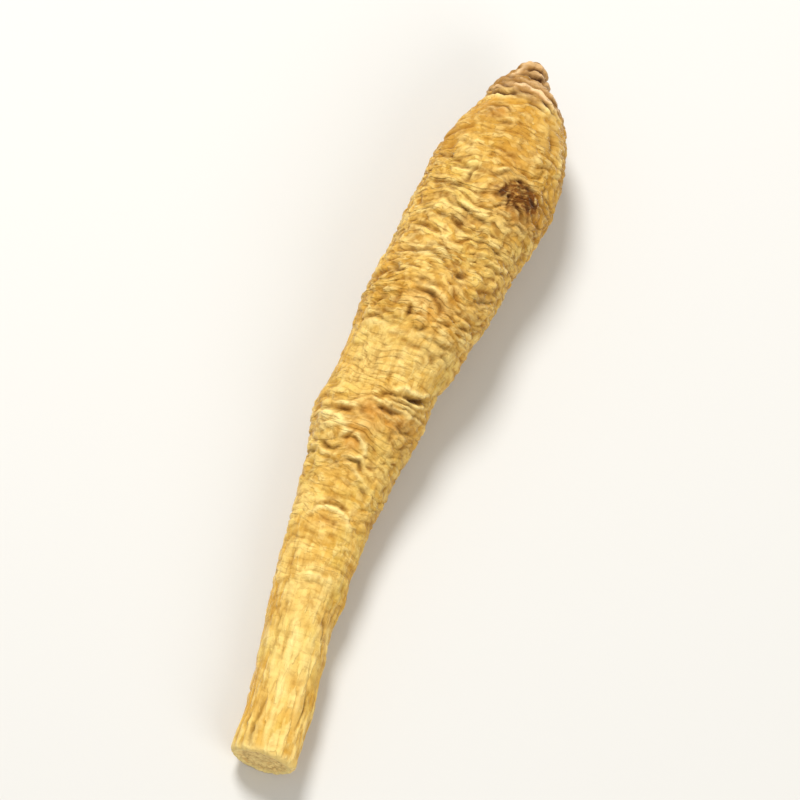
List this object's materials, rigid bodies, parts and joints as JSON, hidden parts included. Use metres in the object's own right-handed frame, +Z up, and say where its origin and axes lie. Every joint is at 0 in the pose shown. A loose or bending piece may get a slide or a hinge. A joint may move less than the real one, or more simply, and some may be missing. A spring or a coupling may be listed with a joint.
{
  "type": "american ginseng root",
  "caption": "Whole dried ginseng root with a ringed crown, wrinkled skin and a squarely cut tail, lying on its side.",
  "frame": {"origin": "on the surface it lies on, under the middle of the root's bounding box", "axes": "+Y along the root towards the crown, +Z up, +X to the side the widest part of the head leans to"},
  "size_m": [0.02, 0.099, 0.0163],
  "materials": {
    "root_skin": "matte, dry and wrinkled root skin"
  },
  "bodies": {
    "root": {"ginseng_root": "root_skin"}
  },
  "joints": []
}
